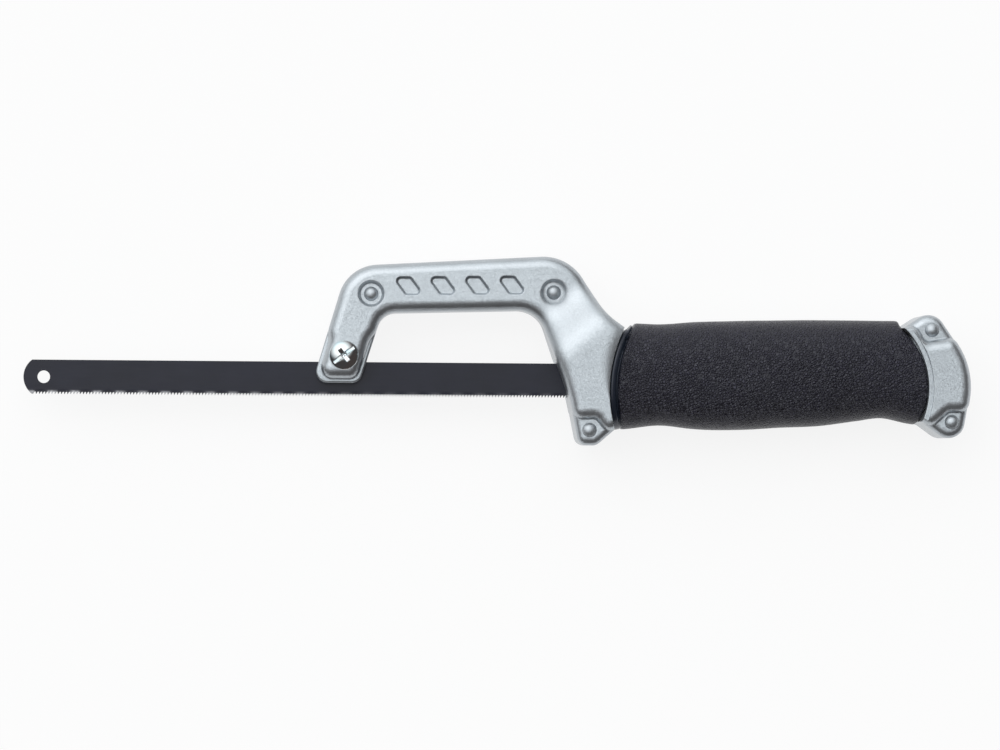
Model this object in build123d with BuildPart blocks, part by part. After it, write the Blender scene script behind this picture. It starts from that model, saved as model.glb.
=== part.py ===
"""Compact hacksaw: a hollow die-cast frame in two riveted halves holds a long blade at one end."""

import os
from math import acos, atan2, cos, degrees, hypot, radians, sin, sqrt, tan

from build123d import *

os.makedirs("parts", exist_ok=True)

# Every length is in millimetres. x runs along the blade from its free tip, y stands square to the
# blade's middle line towards the bow, and z is measured from the plane where the halves meet.

# Saw blade
blade_hole_spacing = 300.0
blade_end_margin = 6.7
blade_height = 11.4
blade_thickness = 0.65
blade_hole_radius = 2.1
blade_end_flatness = 1.4
tooth_pitch = 1.04
tooth_depth = 0.6
tooth_margin = 1.3
tooth_face_share = 0.15

# Fits
overrun = 5.0
clamp_clearance = 0.05
slide_clearance = 0.25
rivet_clearance = 0.1
screw_clearance = 0.12
thread_clearance = 0.05
nut_clearance = 0.1
sleeve_clearance = 0.05
sleeve_end_gap = 0.3

# Half thicknesses of the castings, and how far the pads, the lip and the sleeve lie below the faces
face_level = 14.3
bow_level = 8.0
flange_level = 2.8
pad_fall = 3.2
lip_fall = 1.0
sleeve_fall = 0.6
edge_radius = 3.6
pad_edge_radius = 2.6
flange_edge_radius = 0.7

# Grip: its two end arcs, the sleeve, and the sleeve's walls over the hidden spine
grip_length = 106.7
grip_front_y = -3.2
grip_front_radius = 46.0
grip_rear_y = -2.0
grip_rear_radius = 29.0
sleeve_top_y = 21.1
sleeve_bottom_y = -16.5
sleeve_top_wall = 4.8
sleeve_bottom_wall = 7.6
sleeve_side_wall = 2.9
sleeve_corner_share = 0.78
spine_corner_radius = 6.0
spine_root = 4.0
# Shares of the grip's length, top height, bottom depth and half thickness at each station
sleeve_station_shares = (
    (-0.04, 0.930, 1.020, 0.955),
    (0.06, 0.925, 0.973, 0.955),
    (0.16, 0.908, 0.900, 0.965),
    (0.27, 0.940, 0.968, 0.985),
    (0.37, 0.960, 0.985, 1.000),
    (0.52, 0.983, 0.935, 1.000),
    (0.68, 0.993, 0.880, 0.985),
    (0.79, 0.996, 0.780, 0.955),
    (0.87, 0.993, 0.722, 0.940),
    (0.95, 0.990, 0.820, 0.945),
    (1.03, 0.985, 0.890, 0.955),
)

# Guard and neck: reaches run forwards from the sleeve's front end, drops and rises from its edges
guard_waist_reach = 13.5
guard_waist_y = -3.6
guard_waist_radius = 70.0
guard_tip_reach = 9.8
guard_tip_drop = 5.15
guard_tip_width = 5.8
guard_heel_slope_share = 0.86
guard_tip_radius = 3.2
guard_heel_radius = 3.2
neck_reach = 1.0
neck_rise = 1.0
neck_radius = 20.0
neck_slope_share = 0.72
bow_rear_reach = 13.4
bar_rear_reach = 23.6

# Bow: its opening runs from the arm's foot to the rear end of the bar's underside
bow_opening = 59.1
bar_under_front_y = 22.05
bar_under_rise = 1.4
bar_front_height = 15.5
bar_rear_height = 18.35
bow_front_radius = 13.5
bow_rear_radius = 15.3
inner_front_radius = 6.4
inner_corner_share = 0.72
inner_rear_radius = 9.8

# Front arm and its foot
arm_foot_y = -1.35
arm_foot_width = 15.8
arm_foot_radius = 3.8
arm_outer_lean_share = 0.298
arm_inner_lean_share = 0.317
flange_width = 1.3
flange_gap = 1.64
flange_runout = 3.0
foot_slope_radius = 6.0

# Pommel: reaches run backwards from the sleeve's rear end
blade_end_reach = 12.3
pommel_end_allowance = 3.5
pommel_end_y = 4.5
pommel_end_radius = 26.0
pommel_top_reach = 1.85
pommel_top_rise = 3.8
pommel_top_radius = 5.8
pommel_top_slope_share = 0.66
pommel_heel_setback = 4.7
pommel_heel_drop = 5.95
pommel_heel_radius = 5.45
pommel_heel_slope_share = 0.72
lip_width = 1.5

# Walls, bosses and ribs inside the castings
side_wall = 2.4
bow_roof = 3.0
spine_wall = 2.2
boss_radius = 4.2
rib_thickness = 2.0
rib_count = 5
guard_hollow_reach = 7.4
pommel_hollow_reach = 1.9

# Rivets
rivet_radius = 1.5
rivet_head_radius = 2.4
rivet_head_height = 1.3
rivet_floor_radius = 3.5
rivet_floor_depth = 1.6
rivet_floor_draft = 30.0
bow_front_rivet_inset = 19.4
bow_front_rivet_rise = 6.25
bow_rear_rivet_inset = 5.3
bow_rear_rivet_rise = 5.8
guard_rivet_inset = 3.4
guard_rivet_rise = 5.15
pommel_top_rivet_inset = 0.65
pommel_top_rivet_fall = 7.25
pommel_bottom_rivet_inset = 3.15
pommel_bottom_rivet_rise = 9.4

# The share of a straight wall that the rounds at its two ends may take up
wall_use_share = 0.9995

# Where the faces fall to the pads, measured from the rivets
pad_fall_radius = 3.8
pad_fall_bend_radius = 2.0
guard_pad_rise = 3.4
guard_pad_bend_inset = 2.1
guard_pad_bend_rise = 3.65
guard_pad_heel_inset = 6.2
top_pad_left_inset = 5.9
top_pad_bend_inset = 2.3
top_pad_bend_fall = 3.75
top_pad_right_fall = 2.35
bottom_pad_left_inset = 6.85
bottom_pad_bend_inset = 1.05
bottom_pad_rise = 3.15

# The bow's face climbs to the guard's along a ramp that starts near the rear rivet
ramp_inset = 3.2
ramp_fall = 4.25
ramp_turn = -50.0
ramp_run = 11.5
ramp_radius = 12.0

# Recesses in the bow's faces, in a row between its rivets
recess_count = 4
recess_pitch = 11.5
recess_width = 4.9
recess_height = 4.9
recess_lean = 3.65
recess_depth = 1.3
recess_corner_radius = 0.9
recess_row_shift = -0.85
recess_row_rise = 2.45
recess_draft = 28.0

# Clamp screw and nut
screw_inset = 10.5
screw_radius = 2.0
screw_head_radius = 4.9
screw_head_height = 2.5
screw_tip_reach = 0.9
screw_tip_chamfer = 0.4
slot_width = 1.0
slot_depth = 0.9
slot_angle = 38.0
cross_width = 1.6
cross_reach = 2.4
cross_depth = 1.8
cross_draft = 15.0
nut_width = 7.0
nut_height = 3.2
nut_sink = 0.5
nut_edge_chamfer = 0.35

# Places along the saw
blade_length = blade_hole_spacing + 2 * blade_end_margin
blade_half_height = blade_height / 2
blade_end_radius = blade_half_height + blade_end_flatness
blade_end_run = blade_end_radius - sqrt(blade_end_radius**2 - blade_half_height**2)
grip_end_x = blade_length - blade_end_reach
grip_start_x = grip_end_x - grip_length
bar_rear_x = grip_start_x - bar_rear_reach
arm_foot_x = bar_rear_x - bow_opening - arm_foot_width

# Levels above the plane where the halves meet
pad_level = face_level - pad_fall
lip_level = face_level - lip_fall
sleeve_level = face_level - sleeve_fall
spine_level = sleeve_level - sleeve_side_wall
cavity_level = bow_level - bow_roof
bow_floor_level = bow_level - rivet_floor_depth
nut_seat_level = bow_level - nut_sink - nut_height


def arm_outer_x(y):
    """Where the arm's outer edge lies at height y."""
    return arm_foot_x + arm_outer_lean_share * (y - arm_foot_y)


def arm_inner_x(y):
    """Where the arm's inner edge lies at height y."""
    return arm_foot_x + arm_foot_width + arm_inner_lean_share * (y - arm_foot_y)


# Corners of the bow and the neck
bar_rear_y = bar_under_front_y + bar_under_rise
bow_front_y = bar_under_front_y + bar_front_height
bow_front_x = arm_outer_x(bow_front_y)
bow_rear_x = grip_start_x - bow_rear_reach
bow_rear_y = bar_rear_y + bar_rear_height
neck_x = grip_start_x - neck_reach
neck_y = sleeve_top_y + neck_rise
flange_top_y = bar_under_front_y - inner_corner_share * inner_front_radius - flange_gap
foot_slope_y = flange_top_y - flange_runout
plateau_y = arm_foot_y + flange_width

# Corners of the guard
guard_waist_x = grip_start_x - guard_waist_reach
guard_tip_x = grip_start_x - guard_tip_reach
guard_tip_y = sleeve_bottom_y - guard_tip_drop
heel_x = guard_tip_x + guard_tip_width
behind_grip_x = grip_start_x + 2 * edge_radius + overrun
neck_end = (behind_grip_x, neck_y - neck_slope_share * (behind_grip_x - neck_x))
heel_end = (behind_grip_x, guard_tip_y + guard_heel_slope_share * (behind_grip_x - heel_x))
end_radius = edge_radius + overrun
waist_lean = (guard_tip_x - guard_waist_x) / (guard_waist_y - guard_tip_y)
tip_top_y = guard_waist_y - side_wall


def guard_edge_x(y):
    """Where the guard's front edge lies at height y, below its waist."""
    return guard_waist_x + waist_lean * (guard_waist_y - y)


# Corners of the pommel, which is drawn past the sleeve's end before the sleeve's arc cuts it back
pommel_start_x = grip_end_x - grip_rear_radius / 2
pommel_top = (grip_end_x + pommel_top_reach, sleeve_top_y + pommel_top_rise)
pommel_end = (blade_length + pommel_end_allowance, pommel_end_y)
pommel_heel = (pommel_end[0] - pommel_heel_setback, sleeve_bottom_y - pommel_heel_drop)
pommel_start_top = (
    pommel_start_x,
    pommel_top[1] - pommel_top_slope_share * (pommel_top[0] - pommel_start_x),
)
pommel_start_foot = (
    pommel_start_x,
    pommel_heel[1] + pommel_heel_slope_share * (pommel_heel[0] - pommel_start_x),
)


def along(start, end, x=None, y=None):
    """The point of the line from start to end that lies at x, or else at y."""
    share = (y - start[1]) / (end[1] - start[1]) if x is None else (x - start[0]) / (end[0] - start[0])
    return start[0] + share * (end[0] - start[0]), start[1] + share * (end[1] - start[1])


# Rivet places, and the level that each rivet's heads stand on
bow_front_rivet = (arm_foot_x + bow_front_rivet_inset, bar_under_front_y + bow_front_rivet_rise)
bow_rear_rivet = (bar_rear_x + bow_rear_rivet_inset, bar_rear_y + bow_rear_rivet_rise)
guard_rivet = (guard_tip_x + guard_rivet_inset, guard_tip_y + guard_rivet_rise)
top_rivet = (pommel_top[0] - pommel_top_rivet_inset, pommel_top[1] - pommel_top_rivet_fall)
bottom_rivet = (pommel_heel[0] - pommel_bottom_rivet_inset, pommel_heel[1] + pommel_bottom_rivet_rise)
rivets = {
    "bow_front": (*bow_front_rivet, bow_floor_level),
    "bow_rear": (*bow_rear_rivet, bow_floor_level),
    "guard": (*guard_rivet, pad_level),
    "pommel_top": (*top_rivet, pad_level),
    "pommel_bottom": (*bottom_rivet, pad_level),
}

# Clamp screw, spine and hollows
screw_x = arm_foot_x + screw_inset
screw_y = blade_half_height + screw_radius + screw_clearance
spine_top_y = sleeve_top_y - sleeve_top_wall
spine_height = spine_top_y - sleeve_bottom_y - sleeve_bottom_wall
spine_middle_y = spine_top_y - spine_height / 2
guard_cavity_x = grip_start_x - guard_hollow_reach
pommel_cavity_x = grip_end_x + pommel_hollow_reach


def rounds_within_walls(corners):
    """Each corner's radius, less where its round and a neighbour's would overrun the wall between them."""
    before = corners[-1:] + corners[:-1]
    after = corners[1:] + corners[:1]
    runs = []
    for (x0, y0, _), (x, y, radius), (x1, y1, _) in zip(before, corners, after):
        turn = atan2(y1 - y, x1 - x) - atan2(y - y0, x - x0)
        runs.append(radius * abs(tan(turn / 2)))
    fits = []
    for (x, y, _), (x1, y1, _), run, next_run in zip(corners, after, runs, runs[1:] + runs[:1]):
        wall = hypot(x1 - x, y1 - y)
        usable = wall_use_share * wall
        fits.append(usable / max(run + next_run, usable))
    fits_before = fits[-1:] + fits[:-1]
    return [radius * min(pair) for (_, _, radius), *pair in zip(corners, fits, fits_before)]


def outline(*corners):
    """A closed face on the middle plane from corners (x, y, radius)."""
    with BuildSketch() as face:
        with BuildLine():
            Polyline(*[(x, y) for x, y, radius in corners], close=True)
        make_face()
        for (x, y, _), radius in zip(corners, rounds_within_walls(corners)):
            if radius > 0:
                fillet(face.vertices().sort_by_distance((x, y, 0))[0], radius)
    return face.sketch


def grip_region(gap):
    """The plan between the guard's and the pommel's end arcs, drawn in by a gap."""
    front_middle = (grip_start_x + grip_front_radius, grip_front_y)
    rear_middle = (grip_end_x - grip_rear_radius, grip_rear_y)
    with BuildSketch() as region:
        with BuildLine():
            front = CenterArc(front_middle, grip_front_radius - gap, 90, 180)
            rear = CenterArc(rear_middle, grip_rear_radius - gap, -90, 180)
            Line(front @ 1, rear @ 0)
            Line(rear @ 1, front @ 0)
        make_face()
    return region.sketch


guard_pad_left_y = guard_rivet[1] + guard_pad_rise
guard_pad_heel_x = guard_rivet[0] + guard_pad_heel_inset
bow_outline = outline(
    (arm_outer_x(plateau_y) + flange_width, plateau_y, arm_foot_radius),
    (arm_inner_x(plateau_y) - flange_width, plateau_y, arm_foot_radius),
    (arm_inner_x(foot_slope_y) - flange_width, foot_slope_y, foot_slope_radius),
    (arm_inner_x(flange_top_y), flange_top_y, foot_slope_radius),
    (arm_inner_x(bar_under_front_y), bar_under_front_y, inner_front_radius),
    (bar_rear_x, bar_rear_y, inner_rear_radius),
    (guard_waist_x, guard_waist_y, guard_waist_radius),
    (guard_edge_x(guard_pad_left_y), guard_pad_left_y, pad_fall_radius),
    (guard_rivet[0] + guard_pad_bend_inset, guard_rivet[1] + guard_pad_bend_rise, pad_fall_bend_radius),
    (*along((heel_x, guard_tip_y), heel_end, x=guard_pad_heel_x), pad_fall_radius),
    (*heel_end, end_radius),
    (*neck_end, end_radius),
    (neck_x, neck_y, neck_radius),
    (bow_rear_x, bow_rear_y, bow_rear_radius),
    (bow_front_x, bow_front_y, bow_front_radius),
    (arm_outer_x(flange_top_y), flange_top_y, foot_slope_radius),
    (arm_outer_x(foot_slope_y) + flange_width, foot_slope_y, foot_slope_radius),
)
foot_outline = outline(
    (arm_outer_x(arm_foot_y), arm_foot_y, arm_foot_radius),
    (arm_inner_x(arm_foot_y), arm_foot_y, arm_foot_radius),
    (arm_inner_x(flange_top_y), flange_top_y, 0),
    (arm_outer_x(flange_top_y), flange_top_y, 0),
)
tip_outline = outline(
    (guard_edge_x(tip_top_y), tip_top_y, 0),
    (guard_tip_x, guard_tip_y, guard_tip_radius),
    (heel_x, guard_tip_y, guard_heel_radius),
    (*heel_end, 0),
    (behind_grip_x, tip_top_y, 0),
)
pommel_outline = outline(
    (*pommel_start_top, 0),
    (*pommel_start_foot, 0),
    (*pommel_heel, pommel_heel_radius),
    (*pommel_end, pommel_end_radius),
    (*pommel_top, pommel_top_radius),
)
bottom_pad_y = bottom_rivet[1] + bottom_pad_rise
top_pad_right_y = top_rivet[1] - top_pad_right_fall
pommel_face_outline = outline(
    (*pommel_start_top, 0),
    (*pommel_start_foot, 0),
    (*along(pommel_start_foot, pommel_heel, x=bottom_rivet[0] - bottom_pad_left_inset), pad_fall_radius),
    (bottom_rivet[0] - bottom_pad_bend_inset, bottom_pad_y, pad_fall_bend_radius),
    (*along(pommel_heel, pommel_end, y=bottom_pad_y), pad_fall_radius),
    (*pommel_end, pommel_end_radius),
    (*along(pommel_end, pommel_top, y=top_pad_right_y), pad_fall_radius),
    (top_rivet[0] - top_pad_bend_inset, top_rivet[1] - top_pad_bend_fall, pad_fall_bend_radius),
    (*along(pommel_start_top, pommel_top, x=top_rivet[0] - top_pad_left_inset), pad_fall_radius),
)

# The origin stands under the middle of the saw's box
reach = pommel_outline.bounding_box().max.X
highest = bow_outline.bounding_box().max.Y
lowest = tip_outline.bounding_box().min.Y
middle = Plane((-reach / 2, -(highest + lowest) / 2, face_level))


def level(height):
    """The sketching plane at a height above the plane where the halves meet."""
    return middle.offset(height)


def across(x, y):
    """The plane square to the blade at x, centred at height y, its first axis pointing up y."""
    return Plane(origin=middle.from_local_coords((x, y, 0)), x_dir=(0, 1, 0), z_dir=(1, 0, 0))


def upright(x, y):
    """The plane along the blade that stands on the parting plane at (x, y), its second axis up z."""
    return Plane(origin=middle.from_local_coords((x, y, 0)), x_dir=(1, 0, 0), z_dir=(0, -1, 0))


def standing_axis(x, y):
    """The axis square to the parting plane at (x, y)."""
    return Axis(middle.from_local_coords((x, y, 0)), (0, 0, 1))


def dome_arc(radius, height, base):
    """The profile of a dome, from its rim on the base level to its crown on the axis."""
    sphere_radius = (radius**2 + height**2) / (2 * height)
    rim_angle = degrees(acos(radius / sphere_radius))
    return CenterArc((0, base + height - sphere_radius), sphere_radius, rim_angle, 90 - rim_angle)


def recess_outline(x, y):
    """A leaning four-sided recess floor about (x, y)."""
    foot = recess_width / 2
    lean = recess_lean / 2
    rise = recess_height / 2
    return outline(
        (x - foot - lean, y + rise, recess_corner_radius),
        (x + foot - lean, y + rise, recess_corner_radius),
        (x + foot + lean, y - rise, recess_corner_radius),
        (x - foot + lean, y - rise, recess_corner_radius),
    )


def wall_top_edges(form):
    """The edges between a form's side walls and its top faces, told apart by how far they face up."""
    least_of_top = 0.5
    most_of_wall = 0.01
    tops = form.faces().filter_by(lambda face: face.normal_at().Z > least_of_top)
    walls = form.faces().filter_by(lambda face: abs(face.normal_at().Z) < most_of_wall)
    return tops.edges() & walls.edges()


# Bow, arm and guard: one rounded form whose face climbs from the bow's level to the guard's
ramp_plane = Plane(
    origin=middle.from_local_coords((bow_rear_rivet[0] + ramp_inset, bow_rear_rivet[1] - ramp_fall, 0)),
    x_dir=(cos(radians(ramp_turn)), sin(radians(ramp_turn)), 0),
    z_dir=(sin(radians(ramp_turn)), -cos(radians(ramp_turn)), 0),
)
with BuildPart() as bow_form:
    with BuildSketch(level(0)):
        add(bow_outline)
    extrude(amount=face_level)
    with BuildSketch(ramp_plane):
        with BuildLine():
            ramp = FilletPolyline(
                (-reach, bow_level),
                (0, bow_level),
                (ramp_run, face_level),
                (reach, face_level),
                radius=ramp_radius,
            )
            Polyline(ramp @ 1, (reach, face_level + overrun), (-reach, face_level + overrun), ramp @ 0)
        make_face()
    extrude(amount=reach, both=True, mode=Mode.SUBTRACT)
    fillet(wall_top_edges(bow_form), edge_radius)

with BuildPart() as foot_form:
    with BuildSketch(level(0)):
        add(foot_outline)
    extrude(amount=flange_level)
    fillet(foot_form.faces().sort_by(Axis.Z)[-1].edges(), flange_edge_radius)

with BuildPart() as tip_form:
    with BuildSketch(level(0)):
        add(tip_outline)
    extrude(amount=pad_level)
    tip_edges = tip_form.faces().sort_by(Axis.Z)[-1].edges().sort_by(Axis.X)[:-1].sort_by(Axis.Y)[:-1]
    fillet(tip_edges, pad_edge_radius)

# Pommel: a low pad round each rivet, and between them the face with its lip along the sleeve
with BuildPart() as pommel_form:
    with BuildSketch(level(0)):
        add(pommel_outline)
    extrude(amount=pad_level)
    fillet(pommel_form.faces().sort_by(Axis.Z)[-1].edges().sort_by(Axis.X)[1:], pad_edge_radius)

with BuildPart() as pommel_face_form:
    with BuildSketch(level(0)):
        add(pommel_face_outline)
    extrude(amount=face_level)
    fillet(pommel_face_form.faces().sort_by(Axis.Z)[-1].edges().sort_by(Axis.X)[1:], edge_radius)
    with BuildSketch(level(lip_level)):
        add(grip_region(-lip_width))
    extrude(amount=overrun, mode=Mode.SUBTRACT)

# Spine: the hidden half box that joins the guard to the pommel inside the sleeve
spine_start_x = grip_start_x - spine_root
spine_length = grip_end_x + spine_root - spine_start_x
with BuildPart() as spine_form:
    with BuildSketch(across(spine_start_x, spine_middle_y)):
        RectangleRounded(spine_height, 2 * spine_level, spine_corner_radius)
    extrude(amount=spine_length)
    split(bisect_by=middle)

# Near half of the frame
rib_pitch = (pommel_cavity_x - guard_cavity_x) / (rib_count + 1)
slot_parting_x = (arm_inner_x(arm_foot_y) + guard_waist_x) / 2
slot_top_y = blade_half_height + slide_clearance
arm_slot_level = blade_thickness / 2 + clamp_clearance
channel_level = blade_thickness / 2 + slide_clearance
row_x = (bow_front_rivet[0] + bow_rear_rivet[0]) / 2 + recess_row_shift
row_y = (bow_front_rivet[1] + bow_rear_rivet[1]) / 2 + recess_row_rise
row_slope = (bow_rear_rivet[1] - bow_front_rivet[1]) / (bow_rear_rivet[0] - bow_front_rivet[0])
with BuildPart() as near_half:
    add(bow_form.part)
    add(tip_form.part)
    add(pommel_form.part)
    add(pommel_face_form.part)
    with BuildSketch(level(0)):
        add(grip_region(0))
    extrude(amount=face_level + overrun, mode=Mode.SUBTRACT)
    add(foot_form.part)
    add(spine_form.part)

    # Hollow of the bow and the neck, with a boss round each of its two rivets
    with BuildSketch(level(0)):
        offset(bow_outline, amount=-side_wall, mode=Mode.ADD)
        add(grip_region(-side_wall), mode=Mode.SUBTRACT)
        with Locations((reach / 2, spine_top_y)):
            Rectangle(reach, reach, align=(Align.CENTER, Align.MAX), mode=Mode.SUBTRACT)
    extrude(amount=cavity_level, mode=Mode.SUBTRACT)
    with BuildSketch(level(0)):
        with Locations(bow_front_rivet, bow_rear_rivet):
            Circle(boss_radius)
    extrude(amount=cavity_level)

    # Hollow of the spine, with ribs that carry the blade
    with BuildSketch(across(guard_cavity_x, spine_middle_y)):
        RectangleRounded(
            spine_height - 2 * spine_wall, 2 * (spine_level - spine_wall), spine_corner_radius - spine_wall
        )
    extrude(amount=pommel_cavity_x - guard_cavity_x, mode=Mode.SUBTRACT)
    for rib in range(rib_count):
        rib_x = guard_cavity_x + (rib + 1) * rib_pitch - rib_thickness / 2
        with BuildSketch(across(rib_x, spine_middle_y)):
            RectangleRounded(
                spine_height - spine_wall, 2 * spine_level - spine_wall, spine_corner_radius - spine_wall / 2
            )
            Rectangle(spine_height, spine_level, align=(Align.CENTER, Align.MAX), mode=Mode.SUBTRACT)
        extrude(amount=rib_thickness)

    # Half of the arm's slot and half of the blade's channel in the handle
    with BuildSketch(level(0)):
        with Locations((slot_parting_x, 0)):
            Rectangle(slot_parting_x, 2 * slot_top_y, align=(Align.MAX, Align.CENTER))
    extrude(amount=arm_slot_level, mode=Mode.SUBTRACT)
    with BuildSketch(level(0)):
        with BuildLine():
            sides = Polyline(
                (blade_length - blade_end_run, -slot_top_y),
                (slot_parting_x, -slot_top_y),
                (slot_parting_x, slot_top_y),
                (blade_length - blade_end_run, slot_top_y),
            )
            ThreePointArc(sides @ 1, (blade_length + slide_clearance, 0), sides @ 0)
        make_face()
    extrude(amount=channel_level, mode=Mode.SUBTRACT)

    # Row of leaning recesses in the bow's face
    with BuildSketch(level(bow_level - recess_depth)):
        for recess in range(recess_count):
            run = (recess - (recess_count - 1) / 2) * recess_pitch
            add(recess_outline(row_x + run, row_y + row_slope * run))
    extrude(amount=recess_depth + overrun, taper=-recess_draft, mode=Mode.SUBTRACT)

    # Round recesses for the bow's rivets, holes for all rivets and for the clamp screw
    with BuildSketch(level(bow_floor_level)):
        with Locations(bow_front_rivet, bow_rear_rivet):
            Circle(rivet_floor_radius)
    extrude(amount=rivet_floor_depth + overrun, taper=-rivet_floor_draft, mode=Mode.SUBTRACT)
    with BuildSketch(level(0)):
        for x, y, floor in rivets.values():
            with Locations((x, y)):
                Circle(rivet_radius + rivet_clearance)
        with Locations((screw_x, screw_y)):
            Circle(screw_radius + screw_clearance)
    extrude(amount=face_level + overrun, mode=Mode.SUBTRACT)
near_half.part.label = "near_half"
export_step(near_half.part, "parts/near_half.step")

# Far half: the mirror image, with a hexagonal pocket for the nut
with BuildPart() as far_half:
    mirror(near_half.part, about=middle)
    with BuildSketch(level(-nut_seat_level)):
        with Locations((screw_x, screw_y)):
            RegularPolygon(nut_width / 2 + nut_clearance, 6, major_radius=False)
    extrude(amount=-bow_level, mode=Mode.SUBTRACT)
far_half.part.label = "far_half"
export_step(far_half.part, "parts/far_half.step")

# Rivets, domed at both ends
for name, (x, y, floor) in rivets.items():
    with BuildPart() as rivet:
        with BuildSketch(upright(x, y)):
            with BuildLine():
                stem = Polyline((0, 0), (rivet_radius, 0), (rivet_radius, floor), (rivet_head_radius, floor))
                dome = dome_arc(rivet_head_radius, rivet_head_height, floor)
                Line(dome @ 1, stem @ 0)
            make_face()
        revolve(axis=standing_axis(x, y))
        mirror(about=middle)
    rivet.part.label = "rivet_" + name
    export_step(rivet.part, "parts/rivet_" + name + ".step")

# Clamp screw: a wide domed head with a slot and a cross recess, seated on the arm's face
screw_tip_level = -bow_level - screw_tip_reach
screw_crown_level = bow_level + screw_head_height
with BuildPart() as clamp_screw:
    with BuildSketch(upright(screw_x, screw_y)):
        with BuildLine():
            stem = Polyline(
                (0, screw_tip_level),
                (screw_radius - screw_tip_chamfer, screw_tip_level),
                (screw_radius, screw_tip_level + screw_tip_chamfer),
                (screw_radius, bow_level),
                (screw_head_radius, bow_level),
            )
            dome = dome_arc(screw_head_radius, screw_head_height, bow_level)
            Line(dome @ 1, stem @ 0)
        make_face()
    revolve(axis=standing_axis(screw_x, screw_y))
    with BuildSketch(level(screw_crown_level)):
        with Locations((screw_x, screw_y)):
            Rectangle(2 * screw_head_radius + overrun, slot_width, rotation=slot_angle)
    extrude(amount=-slot_depth, mode=Mode.SUBTRACT)
    with BuildSketch(level(screw_crown_level)):
        with Locations((screw_x, screw_y)):
            Rectangle(2 * cross_reach, cross_width, rotation=slot_angle)
            Rectangle(cross_width, 2 * cross_reach, rotation=slot_angle)
    extrude(amount=-cross_depth, taper=cross_draft, mode=Mode.SUBTRACT)
clamp_screw.part.label = "clamp_screw"
export_step(clamp_screw.part, "parts/clamp_screw.step")

# Nut in the far half's pocket
with BuildPart() as clamp_nut:
    with BuildSketch(level(-nut_seat_level)):
        with Locations((screw_x, screw_y)):
            RegularPolygon(nut_width / 2, 6, major_radius=False)
            Circle(screw_radius + thread_clearance, mode=Mode.SUBTRACT)
    extrude(amount=-nut_height)
    rims = clamp_nut.edges().filter_by(GeomType.LINE).filter_by(Axis.Z, reverse=True)
    chamfer(rims, nut_edge_chamfer)
clamp_nut.part.label = "clamp_nut"
export_step(clamp_nut.part, "parts/clamp_nut.step")

# Saw blade: each tooth has a steep face towards the free tip and a long back
teeth_start_x = blade_end_run + tooth_margin
tooth_count = int((blade_length - 2 * teeth_start_x) / tooth_pitch)
teeth_end_x = teeth_start_x + tooth_count * tooth_pitch
gullet_y = -blade_half_height + tooth_depth
tooth_line = [(blade_end_run, -blade_half_height), (teeth_start_x, -blade_half_height)]
for tooth in range(tooth_count):
    tooth_x = teeth_start_x + tooth * tooth_pitch
    tooth_line.append((tooth_x, gullet_y))
    tooth_line.append((tooth_x + tooth_face_share * tooth_pitch, -blade_half_height))
tooth_line.append((teeth_end_x, gullet_y))
tooth_line.append((teeth_end_x, -blade_half_height))
tooth_line.append((blade_length - blade_end_run, -blade_half_height))
with BuildPart() as blade:
    with BuildSketch(level(-blade_thickness / 2)):
        with BuildLine():
            edge = Polyline(*tooth_line)
            rear_end = ThreePointArc(
                edge @ 1, (blade_length, 0), (blade_length - blade_end_run, blade_half_height)
            )
            back = Line(rear_end @ 1, (blade_end_run, blade_half_height))
            ThreePointArc(back @ 1, (0, 0), edge @ 0)
        make_face()
        with Locations((blade_end_margin, 0), (blade_length - blade_end_margin, 0)):
            Circle(blade_hole_radius, mode=Mode.SUBTRACT)
    extrude(amount=blade_thickness)
blade.part.label = "blade"
export_step(blade.part, "parts/blade.step")

# Grip sleeve: a shaped tube over the spine, cut to the arcs of the guard and the pommel
with BuildPart() as grip_sleeve:
    for along_share, top_share, bottom_share, level_share in sleeve_station_shares:
        top_y = top_share * sleeve_top_y
        bottom_y = bottom_share * sleeve_bottom_y
        half_width = level_share * sleeve_level
        with BuildSketch(across(grip_start_x + along_share * grip_length, (top_y + bottom_y) / 2)):
            RectangleRounded(top_y - bottom_y, 2 * half_width, sleeve_corner_share * half_width)
    loft()
    with BuildSketch(level(0)):
        add(grip_region(sleeve_end_gap))
    extrude(amount=face_level + overrun, both=True, mode=Mode.INTERSECT)
    with BuildSketch(across(spine_start_x, spine_middle_y)):
        RectangleRounded(
            spine_height + 2 * sleeve_clearance,
            2 * (spine_level + sleeve_clearance),
            spine_corner_radius + sleeve_clearance,
        )
    extrude(amount=spine_length, mode=Mode.SUBTRACT)
grip_sleeve.part.label = "grip_sleeve"
export_step(grip_sleeve.part, "parts/grip_sleeve.step")
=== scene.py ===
"""Compact hacksaw: silver castings, black grained sleeve, dark toothed blade and bright clamp screw."""

from bisect import bisect
from math import cos, hypot, pi, radians, sin, sqrt

import bmesh
import bpy
from mathutils import Euler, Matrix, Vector, noise


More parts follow.
